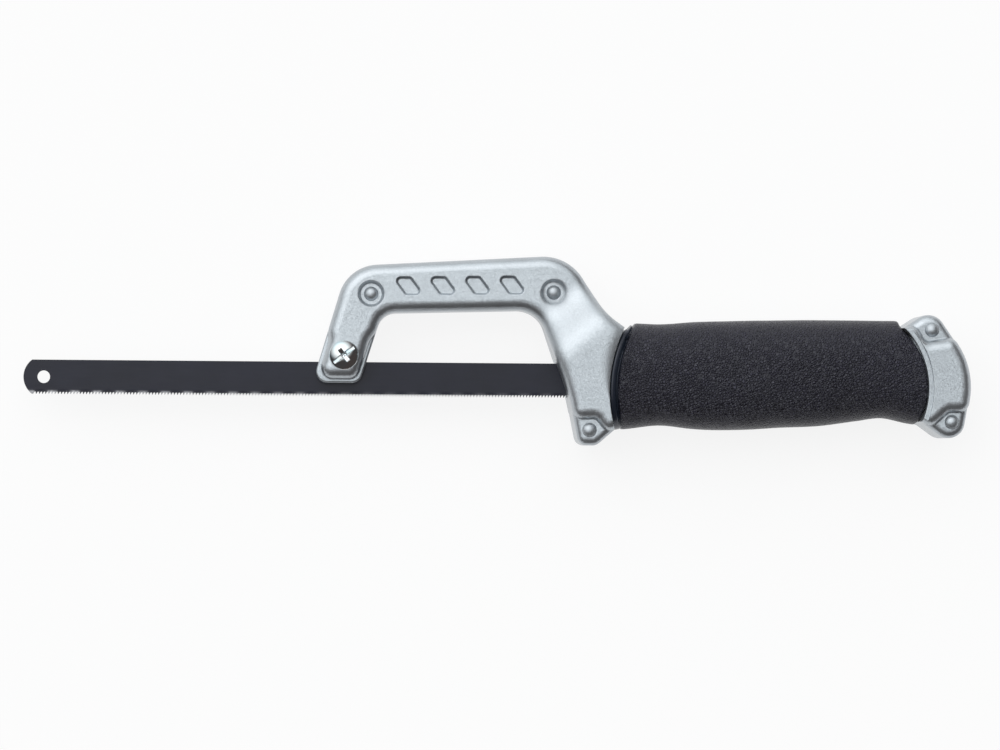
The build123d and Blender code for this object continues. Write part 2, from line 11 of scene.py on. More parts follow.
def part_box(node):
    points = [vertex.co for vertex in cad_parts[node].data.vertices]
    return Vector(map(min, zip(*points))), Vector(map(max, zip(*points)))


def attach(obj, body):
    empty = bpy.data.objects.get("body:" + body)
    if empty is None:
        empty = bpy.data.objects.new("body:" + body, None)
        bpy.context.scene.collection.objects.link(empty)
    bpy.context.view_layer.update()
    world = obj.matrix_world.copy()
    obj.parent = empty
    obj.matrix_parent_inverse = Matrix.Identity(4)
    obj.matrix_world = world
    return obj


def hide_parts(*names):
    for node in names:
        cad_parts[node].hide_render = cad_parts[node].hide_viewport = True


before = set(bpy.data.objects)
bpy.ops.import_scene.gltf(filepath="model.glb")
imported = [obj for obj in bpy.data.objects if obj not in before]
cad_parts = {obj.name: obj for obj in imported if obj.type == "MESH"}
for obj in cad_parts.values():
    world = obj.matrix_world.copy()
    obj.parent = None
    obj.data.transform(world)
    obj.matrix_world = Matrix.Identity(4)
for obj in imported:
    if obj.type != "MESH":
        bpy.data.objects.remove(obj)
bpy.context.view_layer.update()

bl_info = {
    "name": "Hacksaw finish",
    "version": (1, 0, 0),
    "blender": (4, 5, 0),
    "location": "View3D > Sidebar > Hacksaw",
    "description": "Builds the finishes, blade, sleeve and stage of a compact hacksaw",
    "category": "Object",
}

MM = 0.001

# Sockets of a mix node that blends two colours
MIX_SHARE, MIX_FIRST, MIX_SECOND, MIX_RESULT = 0, 6, 7, 2

# Span that most values of a noise fill
NOISE_SPAN = (0.3, 0.7)

# Saw places in millimetres are counted from the blade's tip, its middle line and the parting plane
blade_low, blade_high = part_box("blade")
saw_origin = Vector((blade_low.x, (blade_low.y + blade_high.y) / 2, (blade_low.z + blade_high.z) / 2))
blade_length = (blade_high.x - blade_low.x) / MM
blade_height = (blade_high.y - blade_low.y) / MM
blade_thickness = (blade_high.z - blade_low.z) / MM
sleeve_low, sleeve_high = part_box("grip_sleeve")
sleeve_start_x = (sleeve_low.x - saw_origin.x) / MM
sleeve_end_x = (sleeve_high.x - saw_origin.x) / MM

# Shares of the sleeve's length, and of its top height, bottom depth and half thickness there
sleeve_station_shares = (
    (-0.04, 0.930, 1.020, 0.955),
    (0.06, 0.925, 0.973, 0.955),
    (0.16, 0.908, 0.900, 0.965),
    (0.27, 0.940, 0.968, 0.985),
    (0.37, 0.960, 0.985, 1.000),
    (0.52, 0.983, 0.935, 1.000),
    (0.68, 0.993, 0.880, 0.985),
    (0.79, 0.996, 0.780, 0.955),
    (0.87, 0.993, 0.722, 0.940),
    (0.95, 0.990, 0.820, 0.945),
    (1.03, 0.985, 0.890, 0.955),
)

# Place on the saw, in millimetres, where the guard's face rises from the bow
guard_fold_place = (185.5, 14.0, 11.0)

# One tooth's corners: shares of the tooth pitch along the blade and of the tooth depth above the tips
tooth_profile_shares = ((0.04, 0.92), (0.10, 0.05), (0.20, 0.0), (0.42, 0.55), (0.68, 0.95), (0.86, 1.0))

# Distances from the sleeve's front edge, and how far the surface lies below its shape there
hem_profile = (
    (0.0, 0.75),
    (0.12, 0.45),
    (0.35, 0.28),
    (0.8, 0.28),
    (1.3, 0.42),
    (1.75, 0.70),
    (2.05, 1.25),
    (2.3, 1.6),
    (2.5, 1.15),
    (2.75, 0.45),
    (3.1, 0.12),
    (3.8, 0.0),
)

# Distances from the sleeve's front edge, and how much of the notch under the guard's neck is gone there
notch_end_profile = ((0.9, 0.0), (1.7, 1.0))

# Length of the sleeve's rim as a share of the box round it
sleeve_rim_share = 0.84

# Width of the smooth hem, and of the stretch behind it over which the grain's finish sets in
hem_width, grain_onset = 2.2, 0.8

# Where each of the sky's three colours lies: 0 is square to the light's side, 1 is straight towards it
sky_colour_places = (0.30, 0.72, 0.98)

# Where the sky starts to grow brighter towards the light's side, counted in the same way
sky_dawn_place = 0.30


def at(x, y, z):
    """The point of the frame, in metres, at a place on the saw in millimetres."""
    return saw_origin + MM * Vector((x, y, z))


def per(size):
    """The scale of a texture whose features are this many millimetres wide."""
    return 1 / (size * MM)


def held(value):
    """A value held between 0 and 1."""
    return min(1.0, max(0.0, value))


def eased(share):
    """A share from 0 to 1 that starts and ends softly."""
    share = held(share)
    return share * share * (3 - 2 * share)


def mesh_piece(name, form, smooth=True):
    """A new object from a finished bmesh, shaded smooth or flat."""
    mesh = bpy.data.meshes.new(name)
    form.to_mesh(mesh)
    form.free()
    for face in mesh.polygons:
        face.use_smooth = smooth
    piece = bpy.data.objects.new(name, mesh)
    bpy.context.scene.collection.objects.link(piece)
    return piece


class Finish:
    """A material being made: its shader, and short calls for the nodes that feed it."""

    def __init__(self, name):
        self.material = bpy.data.materials.new(name)
        self.material.use_nodes = True
        self.tree = self.material.node_tree
        self.shader = self.tree.nodes["Principled BSDF"]
        self.place = self.node("ShaderNodeTexCoord").outputs["Object"]

    def node(self, kind, inputs=None, **settings):
        """A new node with its settings, and its inputs linked or set."""
        made = self.tree.nodes.new(kind)
        for name, value in settings.items():
            setattr(made, name, value)
        for name, value in (inputs or {}).items():
            self.feed(made.inputs[name], value)
        return made

    def feed(self, socket, value):
        """Link an output to a socket, or set the socket's value."""
        if isinstance(value, bpy.types.NodeSocket):
            self.tree.links.new(value, socket)
        else:
            socket.default_value = value

    def noise(self, size, detail=2.0, roughness=0.5, distortion=0.0, place=None):
        """Cloudy noise with features of a size in millimetres."""
        inputs = {
            "Vector": place or self.place,
            "Scale": per(size),
            "Detail": detail,
            "Roughness": roughness,
            "Distortion": distortion,
        }
        return self.node("ShaderNodeTexNoise", inputs).outputs["Fac"]

    def cells(self, size, feature="F1", output="Distance", place=None):
        """Cells of a size in millimetres: their distances or their random colours."""
        inputs = {"Vector": place or self.place, "Scale": per(size)}
        return self.node("ShaderNodeTexVoronoi", inputs, feature=feature).outputs[output]

    def span(self, value, low, high, start=0.0, end=1.0, curve="LINEAR"):
        """A value's span from low to high turned into one from start to end."""
        inputs = {"Value": value, "From Min": low, "From Max": high, "To Min": start, "To Max": end}
        return self.node("ShaderNodeMapRange", inputs, interpolation_type=curve).outputs["Result"]

    def mottle(self, cloud, start=0.0, end=1.0):
        """A noise's values spread out from start to end."""
        return self.span(cloud, *NOISE_SPAN, start, end)

    def math(self, operation, first, second=0.0):
        """A sum, product or like of two values."""
        made = self.node("ShaderNodeMath", operation=operation)
        self.feed(made.inputs[0], first)
        self.feed(made.inputs[1], second)
        return made.outputs[0]

    def vector(self, operation, first, second=None, output="Vector"):
        """A sum, distance or like of two vectors."""
        made = self.node("ShaderNodeVectorMath", operation=operation)
        self.feed(made.inputs[0], first)
        if second is not None:
            self.feed(made.inputs[1], second)
        return made.outputs[output]

    def blend(self, share, first, second, way="MIX"):
        """Two colours mixed by a share."""
        made = self.node("ShaderNodeMix", data_type="RGBA", blend_type=way)
        self.feed(made.inputs[MIX_SHARE], share)
        self.feed(made.inputs[MIX_FIRST], first)
        self.feed(made.inputs[MIX_SECOND], second)
        return made.outputs[MIX_RESULT]

    def shade(self, colour, factor):
        """A colour made lighter or darker by a factor that differs from place to place."""
        return self.blend(1.0, colour, factor, way="MULTIPLY")

    def bump(self, height, depth, normal=None):
        """The normal of a surface whose relief is this many millimetres deep."""
        inputs = {"Height": height, "Distance": depth * MM}
        if normal:
            inputs["Normal"] = normal
        return self.node("ShaderNodeBump", inputs).outputs["Normal"]

    def axis(self, name):
        """One coordinate of the place on the object, in metres."""
        return self.node("ShaderNodeSeparateXYZ", {"Vector": self.place}).outputs[name]

    def set(self, **sockets):
        """Feed the shader's own sockets, named with underscores for spaces."""
        for name, value in sockets.items():
            self.feed(self.shader.inputs[name.replace("_", " ")], value)
        return self.material


def tone(colour, share):
    """A colour made lighter or darker by a share."""
    return (*[min(1.0, part * share) for part in colour[:3]], 1.0)


def silver_paint(name, paint, added_roughness=0.0):
    """Silver metallic paint: fine flakes that tilt each their own way, over a faintly uneven casting."""
    finish = Finish(name)
    cloud = finish.noise(size=9.0, detail=3.0)
    grain = finish.noise(size=0.55, roughness=0.7)
    dark, light = tone(paint.colour, 0.95), tone(paint.colour, 1.04)
    colour = finish.blend(finish.mottle(cloud), dark, light)
    colour = finish.shade(colour, finish.mottle(grain, start=0.93, end=1.06))
    dullness = paint.roughness + added_roughness
    rough = finish.mottle(cloud, start=dullness - 0.03, end=dullness + 0.04)

    to_fold = finish.vector("DISTANCE", finish.place, at(*guard_fold_place), output="Value")
    near, far = paint.fold_reach / 2, paint.fold_reach
    radius = finish.span(to_fold, near, far, paint.fold_softness, paint.edge_softness)
    soft_edge = finish.node("ShaderNodeBevel", {"Radius": radius}, samples=6).outputs["Normal"]
    cast = finish.bump(finish.noise(size=2.4), depth=0.035, normal=soft_edge)
    peel = finish.bump(finish.noise(size=0.7, detail=1.0), depth=0.012, normal=cast)
    flake = finish.cells(paint.flake_size / MM, output="Color")
    middle_grey = (0.5, 0.5, 0.5)
    lean = finish.vector("SUBTRACT", flake, middle_grey)
    lean = finish.vector("MULTIPLY", lean, 3 * (paint.flake_tilt,))
    normal = finish.vector("NORMALIZE", finish.vector("ADD", peel, lean))
    return finish.set(Base_Color=colour, Metallic=0.82, Roughness=rough, Normal=normal, Coat_Weight=0.15,
                      Coat_Roughness=0.25)


def bright_plating(name, plating):
    """Bright zinc plating with a faint warm and cool bloom and fine handling marks."""
    finish = Finish(name)
    bloom = finish.span(finish.noise(size=5.0, distortion=0.6), low=0.35, high=0.65)
    colour = finish.blend(bloom, plating.cool_colour, plating.warm_colour)
    marks = finish.noise(size=0.4, detail=3.0, roughness=0.7)
    rough = finish.mottle(marks, start=plating.roughness * 0.8, end=plating.roughness * 1.3)
    normal = finish.bump(marks, depth=0.004)
    return finish.set(Base_Color=colour, Metallic=1.0, Roughness=rough, Normal=normal)


def rubbed_share(finish, enamel):
    """How far the enamel is rubbed thin: most at teeth that are set aside, near the blade's free end."""
    along, height = finish.axis("X"), finish.axis("Y")
    gullet = blade_low.y + enamel.tooth_depth
    near_teeth = finish.span(height, gullet + enamel.rub_height, gullet, curve="SMOOTHSTEP")
    wave = finish.math("SINE", finish.math("MULTIPLY", along, 2 * pi / enamel.set_pitch))
    set_aside = finish.span(wave, low=-0.2, high=0.8, start=0.05, end=0.9, curve="SMOOTHSTEP")
    worn_end = blade_low.x + enamel.worn_length
    worn = finish.span(along, blade_low.x, worn_end, start=1.1, end=enamel.spared_share)
    patches = finish.span(finish.noise(size=0.8), low=0.35, high=0.6, start=0.5)
    rubbed = finish.math("MULTIPLY", near_teeth, set_aside)
    rubbed = finish.math("MULTIPLY", rubbed, worn)
    return finish.math("MULTIPLY", rubbed, patches)


def dark_enamel(name, enamel):
    """Blue-black baked enamel with fine streaks along the blade, rubbed thin to grey along its teeth."""
    finish = Finish(name)
    metal_share = 0.8
    stretch = {"Vector": finish.place, "Scale": (0.06, 1.0, 1.0)}
    stretched = finish.node("ShaderNodeMapping", stretch).outputs["Vector"]
    streaks = finish.noise(size=0.5, detail=3.0, roughness=0.6, place=stretched)
    cloud = finish.noise(size=14.0, detail=3.0)
    dark, light, streak = tone(enamel.colour, 0.85), tone(enamel.colour, 1.2), tone(enamel.colour, 2.2)
    colour = finish.blend(finish.mottle(cloud), dark, light)
    colour = finish.blend(finish.span(streaks, low=0.62, high=0.8, end=0.35), colour, streak)
    rubbed = rubbed_share(finish, enamel)
    colour = finish.blend(rubbed, colour, enamel.steel_colour)
    metallic = finish.math("MULTIPLY", rubbed, metal_share)
    rough = finish.mottle(streaks, start=0.34, end=0.46)
    normal = finish.bump(streaks, depth=0.006)
    return finish.set(Base_Color=colour, Metallic=metallic, Roughness=rough, Normal=normal,
                      Specular_IOR_Level=0.35)


def behind_hem(finish, leather):
    """1 on the grained part of the sleeve, 0 on the smooth hem in front of it."""
    centre = at(sleeve_start_x + leather.front_radius / MM, leather.front_middle / MM, 0.0)
    flat_place = finish.vector("MULTIPLY", finish.place, (1.0, 1.0, 0.0))
    reach = finish.vector("DISTANCE", flat_place, (centre.x, centre.y, 0.0), output="Value")
    hem_reach = leather.front_radius - hem_width * MM
    behind = finish.span(reach, hem_reach, hem_reach - grain_onset * MM, curve="SMOOTHSTEP")
    return finish.math("MAXIMUM", behind, finish.math("GREATER_THAN", finish.axis("X"), centre.x))


def grained_leather(name, leather):
    """Near-black leather-like sleeve: pebbles parted by creases, with painted shade in the creases and a
    painted dull sheen on their crowns.
    """
    finish = Finish(name)
    wander_share, wrinkle_share, wrinkle_size_share = 0.6, 0.6, 0.7
    pebble_size = leather.pebble_size / MM
    grained = behind_hem(finish, leather)
    shift = finish.math("MULTIPLY", finish.noise(size=3.0), leather.pebble_size * wander_share)
    wandering = finish.vector("ADD", finish.place, shift)
    to_crease = finish.cells(pebble_size, feature="DISTANCE_TO_EDGE", place=wandering)
    crown = finish.span(to_crease, low=0.0, high=0.32, curve="SMOOTHSTEP")
    tint = finish.cells(pebble_size, output="Color", place=wandering)
    grey = finish.node("ShaderNodeRGBToBW", {"Color": tint}).outputs["Val"]
    cloud = finish.noise(size=16.0)
    # Painted shade and painted sheen: the colour falls to 0.4 of itself in the grain's creases and rises to
    # 1.3 of itself on the pebbles' crowns
    colour = finish.blend(crown, tone(leather.colour, 0.4), tone(leather.colour, 1.3))
    colour = finish.shade(colour, finish.span(grey, low=0.2, high=0.8, start=0.8, end=1.25))
    colour = finish.shade(colour, finish.mottle(cloud, start=0.85, end=1.15))
    colour = finish.blend(grained, leather.hem_colour, colour)
    rough = finish.span(grained, low=0.0, high=1.0, start=leather.roughness - 0.12, end=leather.roughness)

    wrinkles = finish.noise(pebble_size * wrinkle_size_share, roughness=0.6, distortion=1.2)
    grain = finish.math("ADD", crown, finish.math("MULTIPLY", wrinkles, wrinkle_share))
    grain = finish.math("MULTIPLY", grain, grained)
    relief = finish.bump(grain, leather.relief / MM)
    pores = finish.noise(size=0.28, roughness=0.6)
    normal = finish.bump(pores, depth=0.015, normal=relief)
    return finish.set(Base_Color=colour, Roughness=rough, Normal=normal, Specular_IOR_Level=0.62,
                      Specular_Tint=leather.sheen_colour)


def white_floor(name, stage):
    """A white floor that shows as pure white and still keeps a soft shadow."""
    finish = Finish(name)
    finish.tree.nodes.remove(finish.shader)
    paper = finish.node("ShaderNodeBsdfDiffuse", {"Color": (0.97, 0.97, 0.97, 1.0)}).outputs[0]
    glow = finish.node("ShaderNodeEmission", {"Color": (1.0, 1.0, 1.0, 1.0), "Strength": 1.0}).outputs[0]
    ray = finish.node("ShaderNodeLightPath").outputs
    seen = finish.math("MAXIMUM", ray["Is Camera Ray"], ray["Is Glossy Ray"])
    seen = finish.math("MAXIMUM", seen, ray["Is Transmission Ray"])
    share = finish.math("MULTIPLY", seen, stage.floor_glow)
    mixed = finish.node("ShaderNodeMixShader", {"Fac": share})
    finish.feed(mixed.inputs[1], paper)
    finish.feed(mixed.inputs[2], glow)
    finish.feed(finish.tree.nodes["Material Output"].inputs["Surface"], mixed.outputs[0])
    return finish.material


def paint_all(piece, material):
    """Give every material slot of a piece one material."""
    piece.data.materials.clear()
    piece.data.materials.append(material)
    for face in piece.data.polygons:
        face.material_index = 0


def outline_loop(form, points, level):
    """New vertices of a form at a level, one for each point in millimetres."""
    return [form.verts.new(at(x, y, level)) for x, y in points]


def join_loops(form, loop, other):
    """Faces of a form between two closed loops of as many vertices."""
    for i in range(len(loop)):
        j = (i + 1) % len(loop)
        form.faces.new((loop[i], loop[j], other[j], other[i]))


def steps_down(high, low, count):
    """Heights in even steps from one down to another, without the first."""
    return [high + (low - high) * step / count for step in range(1, count + 1)]


def end_run(blade, y):
    """How far the blade's rounded end has drawn back at a height, in millimetres."""
    radius = blade_height / 2 + blade.end_flatness / MM
    return radius - sqrt(radius**2 - y**2)


def end_points(blade, heights, rear=False):
    """Points of the blade's rounded front or rear end at some heights."""
    runs = [(end_run(blade, y), y) for y in heights]
    return [(blade_length - run, y) for run, y in runs] if rear else runs


def hole_points(blade, x):
    """Points round a hole of the blade."""
    radius, count = blade.hole_radius / MM, 48
    turns = [2 * pi * step / count for step in range(count)]
    return [(x + radius * cos(turn), radius * sin(turn)) for turn in turns]


def tooth_points(blade):
    """Points along the teeth, from one corner of the blade's lower edge to the other."""
    pitch, depth = blade.tooth_pitch / MM, blade.tooth_depth / MM
    low_y = -blade_height / 2
    start_x = end_run(blade, low_y) + blade.tooth_margin / MM
    count = int((blade_length - 2 * start_x) / pitch)
    points = [(start_x, low_y)]
    for tooth in range(count):
        x = start_x + tooth * pitch
        points += [(x + share * pitch, low_y + rise * depth) for share, rise in tooth_profile_shares]
    return [*points, (start_x + count * pitch, low_y)]


def blade_form(blade):
    """The blade as a closed mesh: a pierced plate over a band of teeth that weave from side to side."""
    half_height = blade_height / 2
    band_y = blade.band_height / MM - half_height
    plate_steps, band_steps = 18, 5
    plate_heights = [half_height, *steps_down(half_height, band_y, plate_steps)]
    band_heights = steps_down(band_y, -half_height, band_steps)
    margin = blade.hole_margin / MM
    holes = [hole_points(blade, x) for x in (margin, blade_length - margin)]
    teeth = tooth_points(blade)
    wave = 2 * pi / (blade.set_pitch / MM)
    form = bmesh.new()
    sides = []
    for side in (1, -1):
        level = side * blade_thickness / 2
        front = outline_loop(form, end_points(blade, plate_heights), level)
        rear = outline_loop(form, end_points(blade, plate_heights, rear=True), level)
        upper = outline_loop(form, [(x, band_y) for x, _ in teeth], level)
        low_front = outline_loop(form, end_points(blade, band_heights), level)
        low_rear = outline_loop(form, end_points(blade, band_heights, rear=True), level)
        tips = []
        for x, y in teeth:
            below = (band_y - y) / (band_y + half_height)
            lean = blade.tooth_set / MM * sin(wave * x) * below
            tips.append(form.verts.new(at(x, y, level + lean)))
        rings = [outline_loop(form, hole, level) for hole in holes]
        edges = []
        for loop in (front + upper + rear[::-1], *rings):
            edges += [form.edges.new(pair) for pair in zip(loop, loop[1:] + loop[:1])]
        bmesh.ops.triangle_fill(form, use_beauty=True, use_dissolve=False, edges=edges)
        for i in range(len(teeth) - 1):
            form.faces.new((upper[i], tips[i], tips[i + 1], upper[i + 1]))
        form.faces.new([upper[0], front[-1], *low_front, tips[0]])
        form.faces.new([upper[-1], tips[-1], *low_rear[::-1], rear[-1]])
        rim = front + low_front + tips + low_rear[::-1] + rear[::-1]
        sides.append([rim, *rings])
    for loop, other in zip(*sides):
        join_loops(form, loop, other)
    bmesh.ops.recalc_face_normals(form, faces=form.faces)
    return form


def dug(height, floor, share):
    """A height sunk towards a recess's floor by a share, and left alone where it is lower already."""
    return height + (min(height, floor) - height) * eased(share)


def screw_head_height(x, y, radius, clamp):
    """Height of the screw head over its rim at a place: a dome with a through slot and a cross recess."""
    dome = clamp.dome_height / MM
    curve = (radius**2 + dome**2) / (2 * dome)
    height = sqrt(curve**2 - min(radius, hypot(x, y)) ** 2) - curve + dome
    turn = clamp.slot_turn
    u, v = abs(x * cos(turn) + y * sin(turn)), abs(y * cos(turn) - x * sin(turn))
    wall = clamp.recess_wall / MM
    half_slot, half_cross = clamp.slot_width / MM / 2, clamp.cross_width / MM / 2
    height = dug(height, dome - clamp.slot_depth / MM, (half_slot - v) / wall)
    reach, depth = clamp.cross_reach / MM, clamp.cross_depth / MM
    for along, beside in ((u, v), (v, u)):
        floor = dome - depth * (1 - clamp.cross_rise_share * along / reach)
        height = dug(height, floor, min(half_cross - beside, reach - along) / wall)
    return height


def screw_form(clamp):
    """The clamp screw as a closed mesh: a domed head over a threaded shank."""
    low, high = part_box("clamp_screw")
    centre = (low + high) / 2
    radius = (high.x - low.x) / 2 / MM
    rim = clamp.rim_height / MM
    seat = high.z / MM - clamp.dome_height / MM - rim
    shank = clamp.shank_radius / MM
    pitch, depth = clamp.thread_pitch / MM, clamp.thread_depth / MM
    spokes, head_rings, rings_a_turn = 240, 90, 8
    form = bmesh.new()

    def ring(reach_at, height_at):
        made = []
        for k in range(spokes):
            turn = 2 * pi * k / spokes
            reach = reach_at(turn)
            x, y = reach * cos(turn), reach * sin(turn)
            made.append(form.verts.new((centre.x + x * MM, centre.y + y * MM, height_at(x, y) * MM)))
        return made

    def dome_at(x, y):
        return seat + rim + screw_head_height(x, y, radius, clamp)

    rings = [ring(lambda turn, r=radius * i / head_rings: r, dome_at) for i in range(1, head_rings + 1)]
    top = form.verts.new((centre.x, centre.y, dome_at(0.0, 0.0) * MM))
    rings.append(ring(lambda turn: radius - clamp.rim_round / MM, lambda x, y: seat))
    rings.append(ring(lambda turn: shank, lambda x, y: seat))
    start, end = seat - clamp.neck_length / MM, low.z / MM
    rows = int((start - end) / pitch * rings_a_turn)
    for row in range(rows + 1):
        z = start + (end - start) * row / rows

        def reach_at(turn):
            wave = abs(((z / pitch + turn / (2 * pi)) % 1) * 2 - 1)
            cut = depth * wave * min(1.0, (start - z) / pitch)
            return min(shank - cut, shank - depth + (z - end))

        rings.append(ring(reach_at, lambda x, y: z))
    for loop, after in zip(rings, rings[1:]):
        join_loops(form, loop, after)
    for i in range(spokes):
        form.faces.new((top, rings[0][i], rings[0][(i + 1) % spokes]))
    form.faces.new(rings[-1])
    bmesh.ops.recalc_face_normals(form, faces=form.faces)
    return form


def between_stations(along):
    """Top, bottom and half thickness shares at a place along the grip, smooth through the stations."""
    spots = [row[0] for row in sleeve_station_shares]
    last = len(spots) - 1
    i = max(0, min(last - 1, bisect(spots, along) - 1))
    width = spots[i + 1] - spots[i]
    share = held((along - spots[i]) / width)
    found = []
    for column in (1, 2, 3):
        values = [row[column] for row in sleeve_station_shares]
        slopes = []
        for k in (i, i + 1):
            low, high = max(0, k - 1), min(last, k + 1)
            slopes.append((values[high] - values[low]) / (spots[high] - spots[low]))
        rest = 1 - share
        found.append(
            (1 + 2 * share) * rest**2 * values[i]
            + share * rest**2 * width * slopes[0]
            + share**2 * (3 - 2 * share) * values[i + 1]
            - share**2 * rest * width * slopes[1]
        )
    return found


def superellipse(turn, power):
    """The point of a unit rounded square at a turn from its top."""
    c, s = cos(turn), sin(turn)
    return (
        abs(c) ** (2 / power) * (1 if c > 0 else -1),
        abs(s) ** (2 / power) * (1 if s > 0 else -1),
    )


def even_turns(count, power, height, width):
    """Turns round a rounded square that part its rim into even steps."""
    fine = 4000
    points = [superellipse(2 * pi * i / fine, power) for i in range(fine + 1)]
    lengths = [0.0]
    for (y0, z0), (y1, z1) in zip(points, points[1:]):
        lengths.append(lengths[-1] + hypot((y1 - y0) * height, (z1 - z0) * width))
    turns = []
    for i in range(count):
        spot = bisect(lengths, lengths[-1] * i / count)
        turns.append(2 * pi * (spot - 0.5) / fine)
    return turns


def profile_depth(profile, distance):
    """The depth that a profile of (distance, depth) pairs gives at a distance."""
    if distance >= profile[-1][0]:
        return profile[-1][1]
    i = max(1, bisect([row[0] for row in profile], distance))
    (d0, v0), (d1, v1) = profile[i - 1], profile[i]
    return v0 + (v1 - v0) * eased((distance - d0) / (d1 - d0))


def pebble_height(place, size):
    """How high the leather's grain stands at a place, from 0 in a crease to 1 on a pebble."""
    crease_width = 0.45
    distances = noise.voronoi(place / size)[0]
    rise = min(1.0, (distances[1] - distances[0]) / crease_width)
    return rise * (2 - rise)


def front_edge_x(sleeve, y):
    """Where the sleeve's front edge lies at a height, in millimetres."""
    radius = sleeve.front_radius / MM
    return sleeve_start_x + radius - sqrt(radius**2 - (y - sleeve.front_middle / MM) ** 2)


def rear_edge_x(sleeve, y):
    """Where the sleeve's rear edge lies at a height, in millimetres."""
    radius = sleeve.rear_radius / MM
    y = min(y, sleeve.corner_height / MM)
    return sleeve_end_x - radius + sqrt(radius**2 - (y - sleeve.rear_middle / MM) ** 2)


def sleeve_rows(sleeve):
    """Rows of the sleeve's mesh from front to rear: the zone of each, and its place within the zone."""
    hem, rear_round = hem_profile[-1][0], sleeve.rear_round / MM
    hem_count, rear_count = 26, 10
    middle_count = int((sleeve_end_x - sleeve_start_x - hem - rear_round) / (sleeve.mesh_step / MM))
    rows = [("hem", hem * i / hem_count) for i in range(hem_count + 1)]
    rows += [("middle", i / middle_count) for i in range(1, middle_count + 1)]
    rows += [("rear", rear_round * (1 - sin(pi / 2 * i / rear_count))) for i in range(1, rear_count + 1)]
    return rows


def sunk_depth(sleeve, zone, value, up):
    """How far the sleeve's surface lies below its plain shape, by hem, notch or rear rounding."""
    flat_power, notch_power = 6, 14
    if zone == "hem":
        flat_share = sleeve.flat_hem_share * max(0.0, -up) ** flat_power
        notch = 1 - profile_depth(notch_end_profile, value)
        notch *= sleeve.notch_depth / MM * max(0.0, up) ** notch_power
        return profile_depth(hem_profile, value) * (1 - flat_share) + notch
    if zone == "rear":
        rear_round = sleeve.rear_round / MM
        return rear_round - sqrt(max(0.0, rear_round**2 - (rear_round - value) ** 2))
    return 0.0


def sleeve_point(sleeve, zone, value, up, out):
    """A point of the sleeve's surface: its row, and its spot on a unit rounded square."""
    top, bottom = sleeve.top_height / MM, sleeve.bottom_depth / MM
    width = sleeve.half_thickness / MM
    length = sleeve_end_x - sleeve_start_x
    hem, rear_round = hem_profile[-1][0], sleeve.rear_round / MM
    settling_rounds, away_power = 4, 0.4
    y = up * (top + bottom) / 2 + (top - bottom) / 2
    for _ in range(settling_rounds):
        start, end = front_edge_x(sleeve, y), rear_edge_x(sleeve, y)
        if zone == "hem":
            x = start + value
        elif zone == "middle":
            x = start + hem + value * (end - start - hem - rear_round)
        else:
            x = end - value
        top_share, bottom_share, width_share = between_stations((x - sleeve_start_x) / length)
        high, low = top_share * top, -bottom_share * bottom
        y = (high + low) / 2 + up * (high - low) / 2
    spot = Vector((x, y, out * width_share * width))
    away_up = up / (high - low) * 2 * abs(up) ** away_power
    away = Vector((0.0, away_up, out / width * abs(out) ** away_power)).normalized()
    fade = sleeve.grain_fade / MM
    calm = held((x - start - sleeve.grain_margin / MM) / fade) * held((end - x) / fade)
    lump = noise.noise(spot / sleeve.lump_size * MM) * sleeve.lump_height / MM
    pebble = (pebble_height(spot, sleeve.pebble_size / MM) - 1) * sleeve.pebble_depth / MM
    return spot + away * ((lump + pebble) * calm - sunk_depth(sleeve, zone, value, up))


def sleeve_form(sleeve):
    """The sleeve as a closed tube mesh: a rolled hem and a groove in front, a rounded rear edge."""
    height = (sleeve.top_height + sleeve.bottom_depth) / MM
    width = sleeve.half_thickness / MM
    rim = 2 * (height + 2 * width) * sleeve_rim_share
    turns = even_turns(int(rim / (sleeve.mesh_step / MM)), sleeve.roundness, height / 2, width)
    around = [superellipse(turn, sleeve.roundness) for turn in turns]
    form = bmesh.new()
    rings = []
    for zone, value in sleeve_rows(sleeve):
        ring = [sleeve_point(sleeve, zone, value, up, out) for up, out in around]
        rings.append([form.verts.new(at(*point)) for point in ring])
    bore_high, bore_wide = sleeve.bore_height / MM / 2, sleeve.bore_width / MM / 2
    bores = []
    for edge_x in (front_edge_x, rear_edge_x):
        ring = []
        for turn in turns:
            up, out = superellipse(turn, sleeve.bore_roundness)
            y = sleeve.bore_middle / MM + up * bore_high
            ring.append(form.verts.new(at(edge_x(sleeve, y), y, out * bore_wide)))
        bores.append(ring)
    loops = [bores[0], *rings, bores[1], bores[0]]
    for loop, after in zip(loops, loops[1:]):
        join_loops(form, loop, after)
    bmesh.ops.recalc_face_normals(form, faces=form.faces)
    return form


def size_property(name, description, default):
    """A length in millimetres, kept in metres."""
    return bpy.props.FloatProperty(
        name=name, description=description, default=default * MM, unit="LENGTH", precision=5
    )


def colour_property(name, description, default):
    """A colour that is written as it should render."""
    return bpy.props.FloatVectorProperty(
        name=name, description=description, default=(*default, 1.0), size=4, subtype="COLOR",
        min=0.0, max=1.0
    )


def plain_property(name, description, default, **limits):
    """A number without a unit."""
    return bpy.props.FloatProperty(name=name, description=description, default=default, **limits)


class PaintSettings(bpy.types.PropertyGroup):
    """Silver paint on the castings and rivets"""

    colour: colour_property("Colour", "Colour of the silver paint", (0.455, 0.49, 0.52))
    roughness: plain_property("Roughness", "How dull the paint is", 0.31, min=0.0, max=1.0)
    rivet_dullness: plain_property("Rivet dullness", "How much duller rivets are", 0.09, min=0.0, max=0.6)
    flake_size: size_property("Flake size", "Width of one metal flake", 0.20)
    flake_tilt: plain_property("Flake tilt", "How far the flakes lean out of the surface", 0.16, min=0.0)
    edge_softness: size_property("Edge softness", "Rounding of the casting's sharp edges", 0.45)
    fold_softness: size_property("Fold softness", "Rounding where the guard rises from the bow", 5.5)
    fold_reach: size_property("Fold reach", "Distance over which that rounding fades", 22.0)


